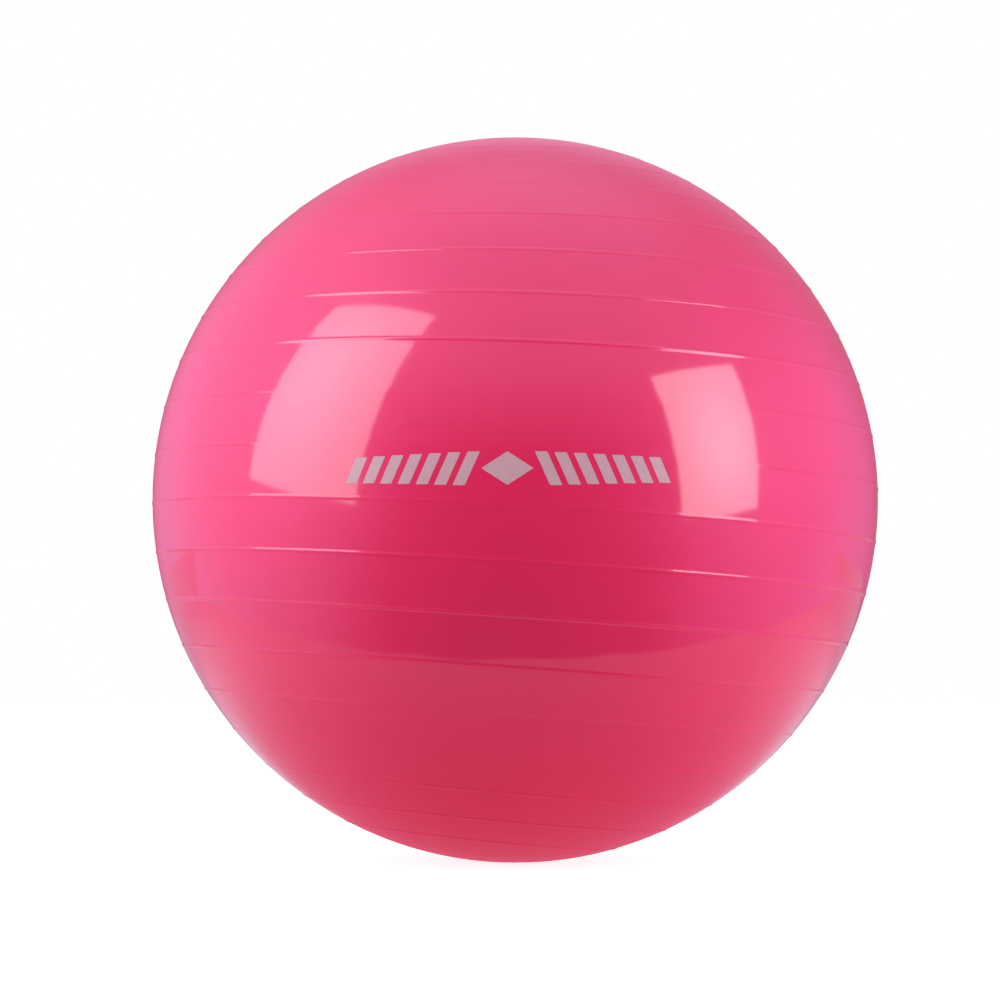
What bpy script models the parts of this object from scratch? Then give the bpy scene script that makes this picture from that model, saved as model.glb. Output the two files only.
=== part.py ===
"""An inflated exercise ball: a hollow ribbed PVC skin, a soft valve seat and a pull-out plug.

Metres, +Z up. The ball stands on the plane z = 0 with its contact patch at the origin.
The front, where the ball is printed, faces -Y. The valve is at the back, on +Y.
"""

import math

import bmesh
import bpy
from mathutils import Matrix, Vector

# Ball
BALL_DIAMETER = 0.650
WALL = 0.0007
SEGMENTS = 48

# Anti-slip ribs, raised rings on parallels of latitude about the rib axis
RIB_PITCH = 8.0
RIBS_PER_HALF = 9
RIB_WIDTH = 0.0040
RIB_HEIGHT = 0.0009
RIB_AXIS_LEAN = 2.9
CAP_STEP = 4.0

# Contact patch, where the weight of the ball flattens it on the floor
PATCH_RADIUS = 0.025

# Valve seat, a turned piece about the +Y axis through the ball's centre
SEAT_RIM_RADIUS = 0.0150
SEAT_RIM_STAND = 0.0006
SEAT_NECK_RADIUS = 0.0120
SEAT_FLANGE_RADIUS = 0.0165
SEAT_FLANGE_THICKNESS = 0.0016
SEAT_BARREL_RADIUS = 0.0076
SEAT_FILLET = 0.0035
SEAT_LENGTH = 0.0260
RECESS_RADIUS = 0.0086
RECESS_DEPTH = 0.0022
BORE_RADIUS = 0.0046

# Valve plug
PLUG_HEAD_RADIUS = 0.0080
PLUG_HEAD_THICKNESS = 0.0019
PLUG_HEAD_ROUND = 0.0007
PLUG_LENGTH = 0.0200
PLUG_STEM_RADIUS = 0.0039
PLUG_TIP_RADIUS = 0.0028
PLUG_RING_RADIUS = 0.0042
PLUG_RING_WIDTH = 0.0016
PLUG_RING_COUNT = 3

# Room between touching pieces
GAP = 0.0003
TURNED_SEGMENTS = 32

BALL_RADIUS = BALL_DIAMETER / 2
CENTRE_HEIGHT = math.sqrt(BALL_RADIUS**2 - PATCH_RADIUS**2)
HALF_SEGMENT = math.radians(180 / SEGMENTS)
TOP_RIB = RIB_PITCH * (RIBS_PER_HALF - 0.5)
BAND_EDGE = math.radians(RIB_PITCH / 2)

# The band round the equator and one segment of it make a flat facet at the valve
SKIN_OUTSIDE = BALL_RADIUS * math.cos(HALF_SEGMENT) * math.cos(BAND_EDGE - RIB_WIDTH / 2 / BALL_RADIUS)
SKIN_INSIDE = (BALL_RADIUS - WALL) * math.cos(HALF_SEGMENT) * math.cos(BAND_EDGE)
SEAT_FACE = BALL_RADIUS + SEAT_RIM_STAND


def clear_scene():
    for obj in list(bpy.data.objects):
        bpy.data.objects.remove(obj, do_unlink=True)


def material(name, colour, roughness, metallic=0.0):
    result = bpy.data.materials.new(name)
    result.use_nodes = True
    shader = result.node_tree.nodes["Principled BSDF"]
    shader.inputs["Base Color"].default_value = (*colour, 1.0)
    shader.inputs["Roughness"].default_value = roughness
    shader.inputs["Metallic"].default_value = metallic
    return result


def add_object(name, bm, finish=None):
    """Turn a bmesh into an object in the scene."""
    bmesh.ops.recalc_face_normals(bm, faces=bm.faces)
    mesh = bpy.data.meshes.new(name)
    bm.to_mesh(mesh)
    bm.free()
    mesh.shade_smooth()
    mesh.set_sharp_from_angle(angle=math.radians(35))
    obj = bpy.data.objects.new(name, mesh)
    bpy.context.collection.objects.link(obj)
    if finish:
        mesh.materials.append(finish)
    return obj


def turned(outline, segments):
    """Spin an open outline of (radius, height) points, whose ends lie on Z, into a closed body."""
    bm = bmesh.new()
    start = Matrix.Rotation(math.pi / segments, 4, "Z")
    points = [bm.verts.new(start @ Vector((radius, 0, height))) for radius, height in outline]
    edges = [bm.edges.new(pair) for pair in zip(points, points[1:])]
    bmesh.ops.spin(
        bm,
        geom=points + edges,
        cent=(0, 0, 0),
        axis=(0, 0, 1),
        angle=math.tau,
        steps=segments,
        use_merge=True,
    )
    bmesh.ops.remove_doubles(bm, verts=bm.verts, dist=1e-5)
    return bm


def rib_latitudes():
    return [RIB_PITCH * index - TOP_RIB for index in range(2 * RIBS_PER_HALF)]


def cap_latitudes():
    """Rows of one smooth polar cap, from the last rib's band to the pole."""
    count = round((90 - TOP_RIB) / CAP_STEP - 0.5)
    return [TOP_RIB + CAP_STEP * (index + 1) for index in range(count)]


def on_arc(latitude, radius):
    angle = math.radians(latitude)
    return radius * math.cos(angle), radius * math.sin(angle)


def ball_outline(radius, ribbed):
    """Half outline from pole to pole. A rib is three points: foot, crest and foot."""
    half_width = math.degrees(RIB_WIDTH / 2 / BALL_RADIUS)
    caps = cap_latitudes()
    outline = [(0.0, -radius)]
    outline += [on_arc(-latitude, radius) for latitude in reversed(caps)]
    for latitude in rib_latitudes():
        if ribbed:
            outline.append(on_arc(latitude - half_width, radius))
            outline.append(on_arc(latitude, radius + RIB_HEIGHT))
            outline.append(on_arc(latitude + half_width, radius))
        else:
            outline.append(on_arc(latitude, radius))
    outline += [on_arc(latitude, radius) for latitude in caps]
    outline.append((0.0, radius))
    return outline


def ball_body(radius, ribbed, floor):
    """A closed ball in its place, leaning, and cut flat at the given height."""
    bm = turned(ball_outline(radius, ribbed), SEGMENTS)
    lean = Matrix.Rotation(math.radians(RIB_AXIS_LEAN), 4, "Y")
    bm.transform(Matrix.Translation((0, 0, CENTRE_HEIGHT)) @ lean)
    cut = bmesh.ops.bisect_plane(
        bm,
        geom=bm.verts[:] + bm.edges[:] + bm.faces[:],
        dist=1e-6,
        plane_co=(0, 0, floor),
        plane_no=(0, 0, 1),
        clear_inner=True,
    )
    rim = [item for item in cut["geom_cut"] if isinstance(item, bmesh.types.BMEdge)]
    bmesh.ops.contextual_create(bm, geom=rim)
    return bm


def hide_cutter(obj):
    obj.hide_render = True
    obj.display_type = "WIRE"


def cut_away(obj, cutter):
    hide_cutter(cutter)
    cut = obj.modifiers.new(cutter.name, "BOOLEAN")
    cut.operation = "DIFFERENCE"
    cut.object = cutter


def place_on_valve_axis(obj, distance):
    """Put a turned piece's origin on the valve axis, with its +Z pointing out along +Y."""
    obj.location = (0, distance, CENTRE_HEIGHT)
    obj.rotation_euler = (math.radians(-90), 0, 0)


def make_skin(finish):
    """The skin: a ribbed ball, less its hollow inside, less the hole for the valve seat."""
    skin = add_object("ball_skin", ball_body(BALL_RADIUS, True, 0.0), finish)
    inside = add_object("skin_inside_cutter", ball_body(BALL_RADIUS - WALL, False, WALL))
    cut_away(skin, inside)

    hole = bmesh.new()
    bmesh.ops.create_cone(
        hole,
        cap_ends=True,
        segments=TURNED_SEGMENTS,
        radius1=SEAT_NECK_RADIUS + GAP,
        radius2=SEAT_NECK_RADIUS + GAP,
        depth=0.02,
    )
    hole_cutter = add_object("valve_hole_cutter", hole)
    place_on_valve_axis(hole_cutter, SKIN_OUTSIDE)
    cut_away(skin, hole_cutter)


def make_seat(finish):
    """The soft seat: a rim outside the skin, a neck through it, a flange inside and a barrel.

    Its origin is on the valve axis, in the plane of its outer face.
    """
    rim_foot = SKIN_OUTSIDE + GAP - SEAT_FACE
    flange_top = SKIN_INSIDE - GAP - SEAT_FACE
    flange_foot = flange_top - SEAT_FLANGE_THICKNESS
    outline = [
        (BORE_RADIUS, -SEAT_LENGTH),
        (SEAT_BARREL_RADIUS, -SEAT_LENGTH),
        (SEAT_BARREL_RADIUS, flange_foot - SEAT_FILLET),
        (SEAT_BARREL_RADIUS + SEAT_FILLET, flange_foot),
        (SEAT_FLANGE_RADIUS, flange_foot),
        (SEAT_FLANGE_RADIUS, flange_top),
        (SEAT_NECK_RADIUS, flange_top),
        (SEAT_NECK_RADIUS, rim_foot),
        (SEAT_RIM_RADIUS, rim_foot),
        (SEAT_RIM_RADIUS - SEAT_RIM_STAND, 0.0),
        (RECESS_RADIUS, 0.0),
        (RECESS_RADIUS, -RECESS_DEPTH),
        (BORE_RADIUS, -RECESS_DEPTH),
        (BORE_RADIUS, -SEAT_LENGTH),
    ]
    seat = add_object("valve_seat", turned(outline, TURNED_SEGMENTS), finish)
    place_on_valve_axis(seat, SEAT_FACE)


def make_plug(finish):
    """The plug: a flat head to pull by and a tapered stem with sealing rings.

    Its origin is on the valve axis, under the head, where the head rests in the seat's recess.
    """
    ring_pitch = PLUG_LENGTH / (PLUG_RING_COUNT + 2)
    outline = [
        (0.0, PLUG_HEAD_THICKNESS),
        (PLUG_HEAD_RADIUS - PLUG_HEAD_ROUND, PLUG_HEAD_THICKNESS),
        (PLUG_HEAD_RADIUS, PLUG_HEAD_THICKNESS - PLUG_HEAD_ROUND),
        (PLUG_HEAD_RADIUS, 0.0),
        (PLUG_STEM_RADIUS, 0.0),
    ]
    for index in range(PLUG_RING_COUNT):
        middle = -ring_pitch * (index + 1)
        outline.append((PLUG_STEM_RADIUS, middle + PLUG_RING_WIDTH / 2))
        outline.append((PLUG_RING_RADIUS, middle))
        outline.append((PLUG_STEM_RADIUS, middle - PLUG_RING_WIDTH / 2))
    outline.append((PLUG_TIP_RADIUS, -PLUG_LENGTH))
    outline.append((0.0, -PLUG_LENGTH))
    plug = add_object("valve_plug", turned(outline, TURNED_SEGMENTS), finish)
    place_on_valve_axis(plug, SEAT_FACE - RECESS_DEPTH + GAP)


def main():
    clear_scene()
    make_skin(material("pink_pvc", (0.72, 0.03, 0.13), 0.25))
    make_seat(material("soft_pink_pvc", (0.62, 0.03, 0.11), 0.4))
    make_plug(material("white_polyethylene", (0.85, 0.85, 0.83), 0.4))


main()
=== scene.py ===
# %% [markdown]
# # An exercise ball
#
# The real ball is one skin of soft PVC, turned in a hot mould until it coats the wall, then blown
# up through a valve. Its surface is a sphere with raised rings for grip, a glossy pearl finish and
# a print on the front. The frame already holds the working parts: the skin, the valve seat and
# the plug. This script gives them their fine surfaces, a colour print, a studio and a camera.

import math

import bmesh
import bpy
from mathutils import Matrix, Vector, noise


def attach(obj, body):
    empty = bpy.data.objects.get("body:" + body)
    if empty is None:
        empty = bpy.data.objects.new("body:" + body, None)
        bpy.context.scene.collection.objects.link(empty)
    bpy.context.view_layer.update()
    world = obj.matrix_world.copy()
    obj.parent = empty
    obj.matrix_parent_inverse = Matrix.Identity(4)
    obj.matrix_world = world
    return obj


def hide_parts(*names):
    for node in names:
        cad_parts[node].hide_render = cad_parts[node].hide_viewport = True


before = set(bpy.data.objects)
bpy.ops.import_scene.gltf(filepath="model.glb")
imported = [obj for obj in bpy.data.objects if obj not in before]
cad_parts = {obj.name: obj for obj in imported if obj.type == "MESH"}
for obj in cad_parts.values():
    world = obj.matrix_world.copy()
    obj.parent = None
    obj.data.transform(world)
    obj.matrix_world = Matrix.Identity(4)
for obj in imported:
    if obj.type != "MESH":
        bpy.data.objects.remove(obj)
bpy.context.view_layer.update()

# %% [markdown]
# ## Sizes
#
# Everything follows from the ball's diameter. The ribs lie on parallels of latitude about the
# moulding axis, every 8 degrees. The ball lies with that axis leaning a little to the right. Its
# weight presses a small flat patch at the bottom, so its centre is slightly less than one radius
# above the floor.

# %% Driving sizes, in metres and degrees
MM = 0.001
BALL_RADIUS = 325 * MM
PATCH_RADIUS = 25 * MM
WALL = 0.7 * MM
RIB_PITCH = 8.0
RIBS_PER_HALF = 9
RIB_WIDTH = 4.8 * MM
RIB_HEIGHT = 0.50 * MM
RIB_AXIS_LEAN = 2.9

CENTRE = Vector((0, 0, math.sqrt(BALL_RADIUS**2 - PATCH_RADIUS**2)))
TOP_RIB = RIB_PITCH * (RIBS_PER_HALF - 0.5)
print("centre height in mm:", round(CENTRE.z / MM, 1), "outermost rib at", TOP_RIB, "degrees")

# %% [markdown]
# ## Camera
#
# The camera stands 2.8 m away and slightly below the ball's middle, with a long lens, so the ball
# looks almost as it would from far away: an outline that is a true circle, with nearly half of
# the surface in view.

# %% Camera
CAMERA_DISTANCE = 8.65 * BALL_RADIUS
CAMERA_ELEVATION = -3.4
FOCAL_LENGTH = 112.2
FRAME_SHIFT = -0.0152


def direction(azimuth, elevation):
    """Unit vector from the ball: azimuth 0 is the front, -Y, and +90 is the right, +X."""
    turn = math.radians(azimuth)
    rise = math.radians(elevation)
    flat = math.cos(rise)
    return Vector((math.sin(turn) * flat, -math.cos(turn) * flat, math.sin(rise)))


def aim(obj, place, facing, roll=0.0):
    """Put an object at a place with its -Z axis along facing, as cameras and lamps look."""
    turn = facing.to_track_quat("-Z", "Y").to_matrix().to_4x4()
    obj.matrix_world = Matrix.Translation(place) @ turn @ Matrix.Rotation(math.radians(roll), 4, "Z")


camera = bpy.data.objects.new("camera", bpy.data.cameras.new("camera"))
bpy.context.scene.collection.objects.link(camera)
towards_camera = direction(0, CAMERA_ELEVATION)
aim(camera, CENTRE + CAMERA_DISTANCE * towards_camera, -towards_camera)
camera.data.lens = FOCAL_LENGTH
camera.data.shift_x = FRAME_SHIFT
bpy.context.scene.camera = camera
print("camera height in mm:", round(camera.location.z / MM))

# %% [markdown]
# ## Helpers for meshes
#
# Each piece is made in a bmesh and becomes an object at the origin, with its place in the mesh.
# Turned pieces, the skin among them, are one outline spun round an axis, as on a lathe.

# %% Mesh helpers
SHARP_ANGLE = math.radians(38)
MERGE_DISTANCE = 0.001 * MM


def finish_piece(name, bm, material):
    """Turn a bmesh into a smooth-shaded object that takes one material."""
    mesh = bpy.data.meshes.new(name)
    bm.to_mesh(mesh)
    bm.free()
    mesh.shade_smooth()
    mesh.set_sharp_from_angle(angle=SHARP_ANGLE)
    mesh.materials.append(material)
    piece = bpy.data.objects.new(name, mesh)
    bpy.context.scene.collection.objects.link(piece)
    triangles = sum(len(face.vertices) - 2 for face in mesh.polygons)
    print(f"{name}: {triangles} triangles")
    return piece


def spin_outline(outline, steps):
    """Spin (radius, height) points, whose ends lie on the Z axis or meet, into a closed body."""
    bm = bmesh.new()
    points = [bm.verts.new((radius, 0, height)) for radius, height in outline]
    edges = [bm.edges.new(pair) for pair in zip(points, points[1:])]
    bmesh.ops.spin(
        bm,
        geom=points + edges,
        cent=(0, 0, 0),
        axis=(0, 0, 1),
        angle=math.tau,
        steps=steps,
        use_merge=True,
    )
    bmesh.ops.remove_doubles(bm, verts=bm.verts, dist=MERGE_DISTANCE)
    bmesh.ops.recalc_face_normals(bm, faces=bm.faces)
    return bm


# %% [markdown]
# ## The shape of the skin
#
# A blown skin is never a perfect sphere. Between two ribs, which are thicker and stretch less, it
# bulges by a few hundredths of a millimetre, and it is wavy over the whole ball by about a tenth.
# The eye sees neither as a shape, but both bend the reflections, and that is what makes a ball
# look blown up and not turned from solid. One function gives the surface height at any place on
# the ball, so that the print can follow the skin exactly.

# %% Surface of the skin
BAND_BULGE = 0.012 * MM
WAVE_HEIGHT = 0.10 * MM
WAVE_LENGTH = 110 * MM
FINE_WAVES = 2.3
FINE_SHARE = 0.35
FINE_START = Vector((7, 3, 5))
PANEL_LEFT = -42.0
PANEL_RIGHT = 40.0
PANEL_BOTTOM = -4.0
PANEL_TOP = 20.0
PANEL_FADE = 4.0
FAINT_SHARE = 0.35
HIGH_SHARE = 0.5
HIGH_START = 28.0
HIGH_END = 58.0
LEAN_PER_DEGREE = 0.045


def smooth_step(value):
    share = min(max(value, 0.0), 1.0)
    return share * share * (3 - 2 * share)


def waviness(unit):
    """Slow unevenness of the blown skin, in metres, in this direction from the centre."""
    wide = noise.noise(unit * (BALL_RADIUS / WAVE_LENGTH))
    fine = noise.noise(unit * (FINE_WAVES * BALL_RADIUS / WAVE_LENGTH) + FINE_START)
    return WAVE_HEIGHT * (wide + FINE_SHARE * fine)


def on_skin(unit, height):
    """The point above the centre of the ball in this direction, at a height over the skin."""
    return CENTRE + unit * (BALL_RADIUS + waviness(unit) + height)


def nearest_rib(latitude):
    return RIB_PITCH * (math.floor(latitude / RIB_PITCH) + 0.5)


def panel_share(longitude):
    """1 across the plain panel that carries the print, and 0 round the rest of the ball."""
    inside = min(longitude - PANEL_LEFT, PANEL_RIGHT - longitude)
    return smooth_step(0.5 + inside / PANEL_FADE)


def bulge(latitude, longitude):
    """The skin stands a little prouder between two ribs, and not where a rib is missing."""
    if abs(latitude) > TOP_RIB:
        return 0.0
    share = 1.0
    if PANEL_BOTTOM < latitude < PANEL_TOP:
        share -= panel_share(longitude)
    return share * BAND_BULGE * (0.5 + 0.5 * math.cos(math.radians(latitude * 360 / RIB_PITCH)))


def rib_share(rib, longitude):
    """A rib's share of its full height: the panel interrupts some, and the top ones are fainter."""
    if rib == PANEL_BOTTOM:
        return 1 - (1 - FAINT_SHARE) * panel_share(longitude)
    if PANEL_BOTTOM < rib < PANEL_TOP:
        return 1 - panel_share(longitude)
    return 1 - (1 - HIGH_SHARE) * smooth_step((rib - HIGH_START) / (HIGH_END - HIGH_START))


def rib_profile(offset):
    """Section of a rib across its width: a low round bead with soft feet."""
    share = min(abs(offset) / (RIB_WIDTH / 2), 1.0)
    return RIB_HEIGHT * (0.5 + 0.5 * math.cos(math.pi * share))


def lean_over(unit, latitude):
    """Turn a direction about the moulding axis into the ball as it lies."""
    lean = math.radians(RIB_AXIS_LEAN - LEAN_PER_DEGREE * latitude)
    return Matrix.Rotation(lean, 3, "Y") @ unit


# %% [markdown]
# The outline has extra rows only where a rib needs them, and one row close to each of its feet,
# so that the smooth shading of the rib doesn't spread over the band beside it. Spun once round,
# it gives the outer skin. The inside is a coarser ball, turned inside out, as nothing there shows.

# %% Outline rows and the two walls
SPIN_STEPS = 256
INSIDE_STEPS = 96
INSIDE_ROWS = 46
RIB_ROWS = 8
BAND_ROWS = 4
CAP_ROWS = 14
RIB_MARGIN = 0.3 * MM
half_rib = math.degrees(RIB_WIDTH / 2 / BALL_RADIUS)
clear_rib = math.degrees((RIB_WIDTH / 2 + RIB_MARGIN) / BALL_RADIUS)


def spread(start, end, count):
    """Evenly spaced values after start, up to and including end."""
    return [start + (end - start) * (index + 1) / count for index in range(count)]


def outer_latitudes():
    rows = spread(-90, -TOP_RIB - clear_rib, CAP_ROWS)
    rib = -TOP_RIB
    while rib <= TOP_RIB:
        rows.append(rib - half_rib)
        rows += spread(rib - half_rib, rib + half_rib, RIB_ROWS)
        rows.append(rib + clear_rib)
        if rib < TOP_RIB:
            rows += spread(rib + clear_rib, rib + RIB_PITCH - clear_rib, BAND_ROWS)
        rib += RIB_PITCH
    return [-90] + rows + spread(TOP_RIB + clear_rib, 90, CAP_ROWS)


def arc_outline(latitudes):
    """Points of a half circle of radius 1, with its two ends exactly on the axis."""
    angles = [math.radians(latitude) for latitude in latitudes[1:-1]]
    return [(0, -1)] + [(math.cos(angle), math.sin(angle)) for angle in angles] + [(0, 1)]


def shape_wall(bm, ribbed, depth):
    """Move the points of a unit ball onto the skin, less a depth, and flatten its foot."""
    for vertex in bm.verts:
        unit = vertex.co.normalized()
        latitude = math.degrees(math.asin(max(-1, min(1, unit.z))))
        longitude = math.degrees(math.atan2(unit.x, -unit.y))
        rib = nearest_rib(latitude)
        height = bulge(latitude, longitude)
        if ribbed and abs(rib) <= TOP_RIB:
            offset = math.radians(latitude - rib) * BALL_RADIUS
            height += rib_profile(offset) * rib_share(rib, longitude)
        vertex.co = on_skin(lean_over(unit, latitude), height - depth)
        vertex.co.z = max(vertex.co.z, depth)


outer = spin_outline(arc_outline(outer_latitudes()), SPIN_STEPS)
shape_wall(outer, True, 0.0)
inner = spin_outline(arc_outline([-90] + spread(-90, 90, INSIDE_ROWS)), INSIDE_STEPS)
shape_wall(inner, False, WALL)
bmesh.ops.reverse_faces(inner, faces=inner.faces)
print("outer skin:", len(outer.verts), "points; inside:", len(inner.verts), "points")

# %% [markdown]
# ## Colours and nodes
#
# Colours are written as the sRGB hex codes that a colour picker shows, and turned into the linear
# numbers that shaders work in. One small function adds a node with its settings and links. The few
# kinds of node that every finish needs, such as a noise, a bump or a ramp, have a function each.

# %% Material helpers
def colour(code):
    """An sRGB hex code as linear red, green, blue and alpha."""
    shares = [int(code[index:index + 2], 16) / 255 for index in (1, 3, 5)]
    linear = [share / 12.92 if share < 0.04 else ((share + 0.055) / 1.055) ** 2.4 for share in shares]
    return (*linear, 1.0)


def feed(tree, node, inputs):
    """Set a node's inputs. Each is a plain value, or another node's output to link from."""
    for name, value in inputs.items():
        if isinstance(value, bpy.types.NodeSocket):
            tree.links.new(value, node.inputs[name])
        else:
            node.inputs[name].default_value = value


def add_node(tree, kind, inputs=None, **settings):
    """Add a node with its settings and its inputs."""
    node = tree.nodes.new(kind)
    for name, value in settings.items():
        setattr(node, name, value)
    feed(tree, node, inputs or {})
    return node


def new_material(name):
    """An empty material and its tree, with a Principled shader wired to the output."""
    material = bpy.data.materials.new(name)
    material.use_nodes = True
    tree = material.node_tree
    return material, tree, tree.nodes["Principled BSDF"]


def object_place(tree):
    """The shaded point's place in its object, in metres."""
    return add_node(tree, "ShaderNodeTexCoord").outputs["Object"]


def cloud(tree, place, size, detail, roughness=0.5):
    """A noise from 0 to 1 whose features are about this size, in metres."""
    return add_node(tree, "ShaderNodeTexNoise", {
        "Vector": place, "Scale": 1 / size, "Detail": detail, "Roughness": roughness}).outputs["Fac"]


def relief(tree, height, distance, strength):
    """A bump that is this many metres deep where the height is 1, as a normal."""
    return add_node(tree, "ShaderNodeBump", {
        "Height": height, "Distance": distance, "Strength": strength}).outputs["Normal"]


def blend(tree, share, first, second):
    """The colour between two hex codes, at a share of the way."""
    return add_node(tree, "ShaderNodeMix", {
        0: share, 6: colour(first), 7: colour(second)}, data_type="RGBA").outputs[2]


def ramp(tree, value, start, end, low=0.0, high=1.0, shape="SMOOTHSTEP"):
    """A value that goes from low to high while the given one goes from start to end."""
    return add_node(tree, "ShaderNodeMapRange", {
        "Value": value, "From Min": start, "From Max": end, "To Min": low, "To Max": high},
        interpolation_type=shape).outputs["Result"]


# %% [markdown]
# ## Pearl PVC
#
# Gym-ball vinyl is soft PVC coloured in the mass, with fine pearl pigment stirred in. Three
# things make its look. The crimson body colour comes from inside the slightly cloudy skin. The
# pearl flakes lie along the surface and throw back a broad pink sheen towards the lamps, so the
# ball is pink at the sides and deep crimson in the middle. Over both lies the smooth, glassy
# surface that the polished mould left, with a sharp reflection of each lamp. In the shader these
# are the base colour, a rough tinted specular layer with some sheen, and a clear coat.

# %% Pearl PVC
def pearl_pvc():
    material, tree, shader = new_material("pearl_pvc")
    place = object_place(tree)
    rub = cloud(tree, place, 18 * MM, 5.0, 0.6)
    peel = relief(tree, cloud(tree, place, 5 * MM, 2.0), 0.01 * MM, 1.0)
    feed(tree, shader, {
        "Base Color": blend(tree, cloud(tree, place, 70 * MM, 3.0, 0.55), "#E30A4C", "#EF0A55"),
        "Roughness": ramp(tree, rub, 0.3, 0.7, 0.56, 0.64, "LINEAR"),
        "Normal": peel,
        "IOR": 1.83,
        "Specular Tint": colour("#FFA6E7"),
        "Sheen Weight": 0.32,
        "Sheen Roughness": 0.5,
        "Sheen Tint": colour("#FFB9FA"),
        "Coat Normal": peel,
        "Coat Weight": 1.0,
        "Coat Roughness": 0.08,
        "Coat IOR": 1.58,
    })
    return material


skin_finish = pearl_pvc()

# %% [markdown]
# ## The skin as one piece
#
# The two walls go into one mesh, and a Boolean cuts the hole for the valve through both. That
# joins them at the hole's edge, so the skin is one closed body with a hollow inside, like the
# real one.

# %% Join the walls and cut the valve hole
VALVE_HOLE_RADIUS = 12.3 * MM
DRILL_LENGTH = 10 * MM
HOLE_STEPS = 96


def join(target, other):
    """Move everything in one bmesh into another."""
    carrier = bpy.data.meshes.new("carrier")
    other.to_mesh(carrier)
    other.free()
    target.from_mesh(carrier)
    bpy.data.meshes.remove(carrier)


def onto_valve_axis(bm, distance):
    """Move a turned bmesh onto the valve axis, with its +Z pointing out of the ball along +Y."""
    turn = Matrix.Rotation(math.radians(-90), 4, "X")
    place = Matrix.Translation(CENTRE + Vector((0, distance, 0)))
    bmesh.ops.transform(bm, matrix=place @ turn, verts=bm.verts)


def cut_with(piece, cutter):
    """Subtract one object from another for good, and delete the cutter."""
    cut = piece.modifiers.new("cut", "BOOLEAN")
    cut.operation = "DIFFERENCE"
    cut.object = cutter
    bpy.context.view_layer.update()
    result = piece.evaluated_get(bpy.context.evaluated_depsgraph_get())
    piece.data = bpy.data.meshes.new_from_object(result)
    piece.modifiers.clear()
    bpy.data.objects.remove(cutter)


join(outer, inner)
skin = finish_piece("pearl_skin", outer, skin_finish)

drill = bmesh.new()
bmesh.ops.create_cone(
    drill,
    cap_ends=True,
    segments=HOLE_STEPS,
    radius1=VALVE_HOLE_RADIUS,
    radius2=VALVE_HOLE_RADIUS,
    depth=DRILL_LENGTH,
)
onto_valve_axis(drill, BALL_RADIUS)
cut_with(skin, finish_piece("drill", drill, skin_finish))
skin.data.set_sharp_from_angle(angle=SHARP_ANGLE)
print("skin after the cut:", len(skin.data.polygons), "faces")

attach(skin, "ball")
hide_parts("ball_skin")

# %% [markdown]
# ## The valve seat
#
# The seat is a thick ring of soft PVC with a barrel behind it, moulded on its own and welded into
# the hole. It is turned, so its section is drawn once and spun. Corners are short arcs, because a
# soft moulding has no sharp edge. The rim's foot sinks a little into the skin, as a weld does.

# %% Soft PVC and the seat
SEAT_STAND = 0.6 * MM
SEAT_RIM_RADIUS = 15.0 * MM
SEAT_NECK_RADIUS = 12.0 * MM
SEAT_FLANGE_RADIUS = 16.5 * MM
SEAT_FLANGE_THICKNESS = 1.6 * MM
SEAT_BARREL_RADIUS = 7.6 * MM
SEAT_LENGTH = 26.0 * MM
SEAT_FACE = BALL_RADIUS + SEAT_STAND
RECESS_RADIUS = 8.6 * MM
RECESS_DEPTH = 2.2 * MM
BORE_RADIUS = 4.6 * MM
TURN_STEPS = 96
ARC_STEPS = 5


def soft_pvc():
    """Plain soft PVC, moulded against a fine matt tool: satin, with a faint bloom."""
    material, tree, shader = new_material("soft_pvc")
    place = object_place(tree)
    bloom = cloud(tree, place, 6 * MM, 3.0)
    feed(tree, shader, {
        "Base Color": blend(tree, bloom, "#C81F52", "#D93768"),
        "Roughness": ramp(tree, bloom, 0.0, 1.0, 0.34, 0.46, "LINEAR"),
        "Normal": relief(tree, cloud(tree, place, 0.6 * MM, 2.0), 0.02 * MM, 0.6),
        "IOR": 1.53,
    })
    return material


def corner(centre, radius, start, end):
    """Points of a short arc in the section, from one angle to another in degrees."""
    points = []
    for index in range(ARC_STEPS + 1):
        angle = math.radians(start + (end - start) * index / ARC_STEPS)
        points.append((centre[0] + radius * math.cos(angle), centre[1] + radius * math.sin(angle)))
    return points


def seat_outline():
    """Closed section of the seat, with height 0 at its outer face."""
    edge = 0.5 * MM
    lip = 0.3 * MM
    fillet = 3.5 * MM
    weld_depth = 0.45 * MM
    flange_gap = 0.55 * MM
    rim_foot = -(SEAT_STAND + weld_depth)
    flange_top = -(SEAT_STAND + WALL + flange_gap)
    flange_foot = flange_top - SEAT_FLANGE_THICKNESS
    barrel_top = (SEAT_BARREL_RADIUS + fillet, flange_foot - fillet)
    groove = 11.6 * MM
    outline = [(BORE_RADIUS, -SEAT_LENGTH + lip)]
    outline += corner((BORE_RADIUS + lip, -SEAT_LENGTH + lip), lip, 180, 270)
    outline += corner((SEAT_BARREL_RADIUS - edge, -SEAT_LENGTH + edge), edge, -90, 0)
    outline += corner(barrel_top, fillet, 180, 90)
    outline += corner((SEAT_FLANGE_RADIUS - edge, flange_foot + edge), edge, -90, 0)
    outline += corner((SEAT_FLANGE_RADIUS - edge, flange_top - edge), edge, 0, 90)
    outline += [(SEAT_NECK_RADIUS, flange_top), (SEAT_NECK_RADIUS, rim_foot)]
    outline += [(SEAT_RIM_RADIUS, rim_foot)]
    outline += corner((SEAT_RIM_RADIUS - edge, -edge), edge, 0, 90)
    outline += corner((groove, 0), lip, 0, -180)
    outline += corner((RECESS_RADIUS + lip, -lip), lip, 90, 180)
    outline += corner((RECESS_RADIUS - lip, lip - RECESS_DEPTH), lip, 0, -90)
    outline += corner((BORE_RADIUS + lip, -RECESS_DEPTH - lip), lip, 90, 180)
    outline.append(outline[0])
    return outline


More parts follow.
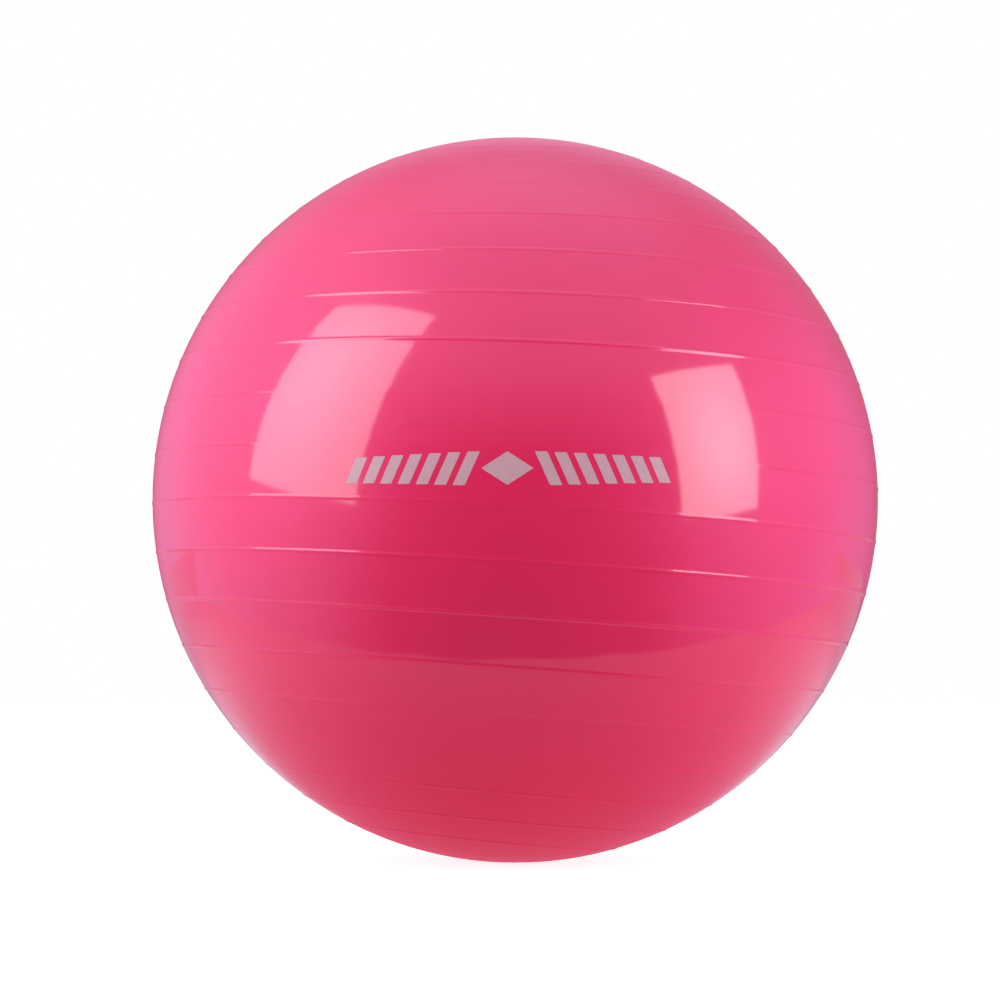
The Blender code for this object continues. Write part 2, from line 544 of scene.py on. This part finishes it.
seat_mesh = spin_outline(seat_outline(), TURN_STEPS)
onto_valve_axis(seat_mesh, SEAT_FACE)
seat = finish_piece("soft_valve_seat", seat_mesh, soft_pvc())
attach(seat, "ball")
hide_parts("valve_seat")

# %% [markdown]
# ## The plug
#
# The plug is a stopper of white polyethylene. Its stem tapers, so it goes in easily and then
# wedges, and three rounded rings seal against the bore. The end is hollow, as such mouldings are,
# to keep the wall even and let the tip give. The head has a round edge and a small sunk gate mark
# where the plastic came in.

# %% Polyethylene and the plug
PLUG_HEAD_RADIUS = 8.0 * MM
PLUG_HEAD_THICKNESS = 1.9 * MM
PLUG_LENGTH = 20.0 * MM
PLUG_STEM_RADIUS = 3.9 * MM
PLUG_TIP_RADIUS = 2.8 * MM
PLUG_RING_RADIUS = 4.3 * MM
PLUG_RINGS = 3
PLUG_HEAD_GAP = 0.3 * MM


def polyethylene():
    """White polyethylene: waxy, with light passing a little way in."""
    material, tree, shader = new_material("white_polyethylene")
    place = object_place(tree)
    flow = cloud(tree, place, 4 * MM, 3.0)
    feed(tree, shader, {
        "Base Color": blend(tree, flow, "#E9E8E2", "#F3F2EE"),
        "Roughness": ramp(tree, flow, 0.0, 1.0, 0.36, 0.5, "LINEAR"),
        "Normal": relief(tree, cloud(tree, place, 0.5 * MM, 2.0), 0.015 * MM, 0.5),
        "IOR": 1.51,
        "Subsurface Weight": 0.15,
        "Subsurface Radius": (1.0, 1.0, 0.9),
        "Subsurface Scale": 1.5 * MM,
    })
    return material


def plug_outline():
    """Half section of the plug, from the middle of its head to the middle of its tip."""
    edge = 0.7 * MM
    under_edge = 0.4 * MM
    tip_edge = 0.5 * MM
    dimple = 1.1 * MM
    dimple_depth = 0.25 * MM
    dimple_slope = 0.2 * MM
    hollow = 1.6 * MM
    hollow_depth = 11 * MM
    fillet = 0.8 * MM
    ring_half = 0.8 * MM
    pitch = PLUG_LENGTH / (PLUG_RINGS + 2)
    top = PLUG_HEAD_THICKNESS
    outline = [(0, top - dimple_depth), (dimple - dimple_slope, top - dimple_depth)]
    outline.append((dimple + dimple_slope, top))
    outline += corner((PLUG_HEAD_RADIUS - edge, top - edge), edge, 90, 0)
    outline += corner((PLUG_HEAD_RADIUS - under_edge, under_edge), under_edge, 0, -90)
    outline += corner((PLUG_STEM_RADIUS + fillet, -fillet), fillet, 90, 180)
    # Each ring runs from its lower end up, so it doubles back over the stem's wall behind it.
    for index in range(PLUG_RINGS):
        middle = -pitch * (index + 1)
        for step in range(2 * ARC_STEPS + 1):
            along = step / ARC_STEPS - 1
            swell = (PLUG_RING_RADIUS - PLUG_STEM_RADIUS) * math.sqrt(1 - along * along)
            outline.append((PLUG_STEM_RADIUS + swell, middle + along * ring_half))
    outline += corner((PLUG_TIP_RADIUS - tip_edge, tip_edge - PLUG_LENGTH), tip_edge, 20, -90)
    outline += [(hollow, -PLUG_LENGTH), (hollow, hollow_depth - PLUG_LENGTH - hollow)]
    outline += corner((0, hollow_depth - PLUG_LENGTH - hollow), hollow, 0, 90)
    return outline


plug_mesh = spin_outline(plug_outline(), TURN_STEPS)
onto_valve_axis(plug_mesh, SEAT_FACE - RECESS_DEPTH + PLUG_HEAD_GAP)
plug = finish_piece("stopper", plug_mesh, polyethylene())
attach(plug, "plug")
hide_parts("valve_plug")

# %% [markdown]
# ## The print
#
# The front carries a screen print. Here it is a plain geometric motif: a lozenge with a row of
# slanted bars on each side of it, each bar shorter than the last. Ink is a film, so each shape is
# drawn flat, sliced into small squares so that it can bend, given a thickness, and then laid on
# the skin point by point with the function that shaped the skin.

# %% Screen-print ink and the motif
PRINT_HEIGHT = 27 * MM
PRINT_ELEVATION = 1.1
PRINT_AZIMUTH = -1.1
BAR_COUNT = 7
BAR_WIDTH = 10 * MM
BAR_PITCH = 15.4 * MM
BAR_SLANT = 0.45
BAR_TAPER = 0.04
BAR_START = 3 * MM
BAR_SHIFT = 4 * MM
LOZENGE_WIDTH = 42 * MM
PRINT_REACH = 160 * MM
INK_FILM = 0.10 * MM
INK_LIFT = 0.02 * MM
INK_SLICE = 4 * MM
INK_CORNER = 0.8 * MM


def screen_ink():
    """Vinyl screen ink: pale grey pink, nearly matt, with the tooth of the screen's mesh."""
    material, tree, shader = new_material("screen_ink")
    place = object_place(tree)
    feed(tree, shader, {
        "Base Color": blend(tree, cloud(tree, place, 3 * MM, 3.0), "#C39CA9", "#D0AEBB"),
        "Normal": relief(tree, cloud(tree, place, 0.8 * MM, 1.0), 0.01 * MM, 0.5),
        "Roughness": 0.45,
        "IOR": 1.48,
    })
    return material


def add_shape(bm, corners):
    """Draw one flat outline with slightly rounded corners."""
    points = [bm.verts.new((x, y, 0)) for x, y in corners]
    bm.faces.new(points)
    bmesh.ops.bevel(
        bm,
        geom=points,
        offset=INK_CORNER,
        offset_type="OFFSET",
        affect="VERTICES",
        segments=3,
        profile=0.5,
        material=-1,
    )


def add_bar(bm, index, side):
    """One slanted bar: side is -1 on the left of the lozenge and +1 on its right."""
    half = PRINT_HEIGHT / 2 * (1 - BAR_TAPER * index)
    near = LOZENGE_WIDTH / 2 + BAR_START + BAR_PITCH * index
    top = near - BAR_SLANT * half + BAR_SHIFT
    foot = near + BAR_SLANT * half + BAR_SHIFT
    corners = [(foot, -half), (foot + BAR_WIDTH, -half), (top + BAR_WIDTH, half), (top, half)]
    add_shape(bm, [(side * x, y) for x, y in corners])


def add_lozenge(bm, width, height):
    add_shape(bm, [(0, -height / 2), (width / 2, 0), (0, height / 2), (-width / 2, 0)])


def slice_across(bm, axis, reach):
    """Cut all faces along one axis into strips narrow enough to bend."""
    step = -reach
    while step < reach:
        place = Vector((0, 0, 0))
        place[axis] = step
        normal = Vector((0, 0, 0))
        normal[axis] = 1
        bmesh.ops.bisect_plane(
            bm,
            geom=bm.verts[:] + bm.edges[:] + bm.faces[:],
            plane_co=place,
            plane_no=normal,
        )
        step += INK_SLICE


motif = bmesh.new()
for bar in range(BAR_COUNT):
    for side in (-1, 1):
        add_bar(motif, bar, side)
add_lozenge(motif, LOZENGE_WIDTH, PRINT_HEIGHT)
slice_across(motif, 0, PRINT_REACH)
slice_across(motif, 1, PRINT_HEIGHT / 2)
bmesh.ops.recalc_face_normals(motif, faces=motif.faces)
for face in motif.faces:
    if face.normal.z < 0:
        face.normal_flip()
bmesh.ops.solidify(motif, geom=motif.faces[:], thickness=-INK_FILM)
for vertex in motif.verts:
    across, up, over = vertex.co
    unit = direction(
        PRINT_AZIMUTH + math.degrees(across / BALL_RADIUS),
        PRINT_ELEVATION + math.degrees(up / BALL_RADIUS),
    )
    vertex.co = on_skin(unit, over + INK_LIFT)
bmesh.ops.recalc_face_normals(motif, faces=motif.faces)
ink = finish_piece("printed_motif", motif, screen_ink())
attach(ink, "ball")

# %% [markdown]
# ## Studio
#
# A glossy ball shows the whole room, so the room is part of the picture. Two softboxes stand in
# front, left and right, and the light from the sides of the room fills in. The space behind the
# camera is dark, which leaves the middle of the ball deep crimson. The floor is bright enough to
# look white and keeps only a faint shadow. In a lamp the reflection matters as much as the light:
# the place, tilt and size of each softbox give its reflection on the ball.

# %% Lamps
LAMP_DISTANCE = 1.4
LAMP_MIDDLE = 1.15
LAMP_EDGE = 0.80
LAMP_REACH = 0.6


def soften_face(data):
    """Make a softbox's cloth brightest in the middle, in front of its flash, and dimmer outwards."""
    data.use_nodes = True
    tree = data.node_tree
    place = add_node(tree, "ShaderNodeNewGeometry").outputs["Parametric"]
    away = add_node(tree, "ShaderNodeVectorMath", {
        0: place, 1: (0.5, 0.5, 0.0)}, operation="DISTANCE").outputs["Value"]
    share = ramp(tree, away, 0.0, LAMP_REACH, LAMP_MIDDLE, LAMP_EDGE)
    feed(tree, tree.nodes["Emission"], {"Strength": share})


def softbox(name, azimuth, elevation, facing, roll, width, height, radiance):
    """A rectangular lamp by its place round the ball, where it faces, its size and brightness."""
    data = bpy.data.lights.new(name, "AREA")
    data.shape = "RECTANGLE"
    data.size = width
    data.size_y = height
    data.energy = radiance * math.pi * width * height
    soften_face(data)
    lamp = bpy.data.objects.new(name, data)
    bpy.context.scene.collection.objects.link(lamp)
    aim(lamp, CENTRE + LAMP_DISTANCE * direction(azimuth, elevation), -direction(*facing), roll)
    lamp.visible_camera = False
    return lamp


softbox("left_softbox", -60, 29, (-37.5, 1.5), -11, 1.0, 1.35, 3.9)
softbox("right_softbox", 59, 12, (42.5, 17.5), 9, 0.72, 0.90, 5.0)

# %% [markdown]
# The floor that the camera sees takes shadows but lights nothing. What the ball reflects of it is
# a sheet of its own, because the paper under the ball ends not far in front of it, and past its
# edge the ball reflects the dark room.

# %% Floor and the paper that the ball reflects
FLOOR_SIZE = 60.0
FLOOR_GLOW = 0.86
PAPER_GLOW = 0.70
PAPER_FRONT = -0.43
PAPER_CURVE = 0.72
PAPER_HALF = 1.15
PAPER_SIDE = 2.5
PAPER_SHOULDER = 1.2
PAPER_STEPS = 12
PAPER_BACK = 4.0
PAPER_LIFT = 0.5 * MM
PAPER_TONE = "#FFF2F8"
# Painted light on the reflected paper: pink bounce light and shade round the foot, and a painted fall-off
# further out.
FAR_GLOW = 0.38
FAR_START = 0.65
FAR_END = 1.25
FOOT_GLOW = 0.75
FOOT_BOUNCE_AND_SHADE = "#FF5968"
FOOT_START = 0.12
FOOT_END = 0.58


def lit_sheet(name, tone, brightness):
    """A plain matt finish that is bright by itself, as paper under strong light is."""
    material, tree, shader = new_material(name)
    feed(tree, shader, {
        "Base Color": colour(tone),
        "Roughness": 0.9,
        "Specular IOR Level": 0.0,
        "Emission Color": (1, 1, 1, 1),
        "Emission Strength": brightness,
    })
    return material, tree, shader


def lit_paper():
    """Paper as the ball reflects it: bright, and round the foot painted pink bounce light from the ball's
    own colour and painted shade.
    """
    material, tree, shader = lit_sheet("lit_paper", "#000000", PAPER_GLOW)
    away = add_node(tree, "ShaderNodeVectorMath", {
        0: object_place(tree)}, operation="LENGTH").outputs["Value"]
    # Round the foot the paper gets painted pink bounce light and painted shade; further out, a painted
    # fall-off of light.
    share = ramp(tree, away, FOOT_START, FOOT_END)
    open_glow = ramp(tree, away, FAR_START, FAR_END, PAPER_GLOW, FAR_GLOW)
    strength = add_node(tree, "ShaderNodeMix", {
        0: share, 2: FOOT_GLOW, 3: open_glow}, data_type="FLOAT").outputs[0]
    feed(tree, shader, {
        "Emission Color": blend(tree, share, FOOT_BOUNCE_AND_SHADE, PAPER_TONE), "Emission Strength": strength})
    return material


ground = bmesh.new()
bmesh.ops.create_grid(ground, x_segments=1, y_segments=1, size=FLOOR_SIZE / 2)
floor = finish_piece("floor", ground, lit_sheet("pale_floor", "#B0B0B0", FLOOR_GLOW)[0])
floor.visible_glossy = False
floor.visible_diffuse = False
floor.visible_shadow = False

paper = bmesh.new()
corners = [(PAPER_SIDE, PAPER_SHOULDER), (PAPER_SIDE, PAPER_BACK)]
corners += [(-PAPER_SIDE, PAPER_BACK), (-PAPER_SIDE, PAPER_SHOULDER)]
for across in [-PAPER_HALF] + spread(-PAPER_HALF, PAPER_HALF, PAPER_STEPS):
    corners.append((across, PAPER_FRONT + PAPER_CURVE * across**2))
paper.faces.new([paper.verts.new((x, y, PAPER_LIFT)) for x, y in corners])
bmesh.ops.recalc_face_normals(paper, faces=paper.faces)
reflected = finish_piece("reflected_paper", paper, lit_paper())
reflected.visible_camera = False
reflected.visible_diffuse = False
reflected.visible_shadow = False

# %% [markdown]
# ## The rest of the room
#
# The world stands for the room beyond the lamps, and it is made of two parts: the light that it
# gives and the reflections that it makes. As light it is brightest at the two sides, weaker from
# behind and from overhead, and dark in front, and the floor throws a faintly pink light upwards.

# %% World as light
SIDE_LIGHT = 1.5
BACK_LIGHT = 0.85
TOP_LIGHT = 0.47
FLOOR_LIGHT = 0.75
FLOOR_BOUNCE = "#FFDCDC"

world = bpy.data.worlds.new("studio")
bpy.context.scene.world = world
world.use_nodes = True
tree = world.node_tree
tree.nodes.clear()
way = add_node(tree, "ShaderNodeTexCoord").outputs["Generated"]
axes = add_node(tree, "ShaderNodeSeparateXYZ", {"Vector": way}).outputs


def compute(operation, *values):
    """The result of a Math node in the world, from numbers or other nodes' outputs."""
    return add_node(tree, "ShaderNodeMath", dict(enumerate(values)), operation=operation).outputs["Value"]


# Each is a ramp over a direction's share along one axis: 0 is square to it and 1 straight along.
above = ramp(tree, axes["Z"], -0.02, 0.02, shape="LINEAR")
back = ramp(tree, axes["Y"], -0.2, 0.8)
top = ramp(tree, axes["Z"], 0.3, 0.95)
flank = ramp(tree, compute("ABSOLUTE", axes["Y"]), 0.8, 0.0, shape="LINEAR")
side = compute("MULTIPLY", flank, compute("SUBTRACT", 1.0, top))
walls = compute("MULTIPLY_ADD", side, SIDE_LIGHT, 0.0)
walls = compute("MULTIPLY_ADD", back, BACK_LIGHT, walls)
upper = compute("MULTIPLY_ADD", top, TOP_LIGHT, walls)
room = add_node(tree, "ShaderNodeMix", {
    0: above, 2: FLOOR_LIGHT, 3: upper}, data_type="FLOAT").outputs[0]
light = add_node(tree, "ShaderNodeBackground", {
    "Color": blend(tree, above, FLOOR_BOUNCE, "#FFFFFF"), "Strength": room}).outputs["Background"]
print("world light:", len(tree.nodes), "nodes")

# %% [markdown]
# As a reflection the room is five broad glows with soft edges, added up: cool daylight at the two
# sides and overhead, and two faint red ones behind, where the ball's own colour falls on the room.
# The camera itself sees plain white.

# %% World as a reflection
def glow(azimuth, elevation, reach, tone, brightness, under):
    """Add a soft round patch of light, brightest in one direction, to the ones under it."""
    nearness = add_node(tree, "ShaderNodeVectorMath", {
        0: way, 1: direction(azimuth, elevation)}, operation="DOT_PRODUCT").outputs["Value"]
    share = ramp(tree, nearness, math.cos(math.radians(reach)), 1.0)
    strongest = Vector(colour(tone)[:3]) * brightness
    return add_node(tree, "ShaderNodeVectorMath", {
        0: share, 1: strongest, 2: under}, operation="MULTIPLY_ADD").outputs["Vector"]


glows = glow(-100, 5, 70, "#B4CEFF", 1.1, (0, 0, 0))
glows = glow(100, -5, 62, "#B1B5FF", 0.95, glows)
glows = glow(180, 0, 45, "#FF7C95", 0.42, glows)
glows = glow(0, 70, 65, "#ADDDFF", 1.0, glows)
glows = glow(180, 50, 50, "#FFA6A0", 0.34, glows)
shine = add_node(tree, "ShaderNodeBackground", {"Color": glows}).outputs["Background"]
plain = add_node(tree, "ShaderNodeBackground", {"Color": (1, 1, 1, 1)}).outputs["Background"]
ray = add_node(tree, "ShaderNodeLightPath").outputs
unseen = add_node(tree, "ShaderNodeMixShader", {
    0: ray["Is Diffuse Ray"], 1: shine, 2: light}).outputs["Shader"]
shown = add_node(tree, "ShaderNodeMixShader", {
    0: ray["Is Camera Ray"], 1: unseen, 2: plain}).outputs["Shader"]
add_node(tree, "ShaderNodeOutputWorld", {"Surface": shown})
world.cycles.sampling_method = "NONE"
bpy.context.scene.view_settings.view_transform = "Standard"
print("world:", len(tree.nodes), "nodes")
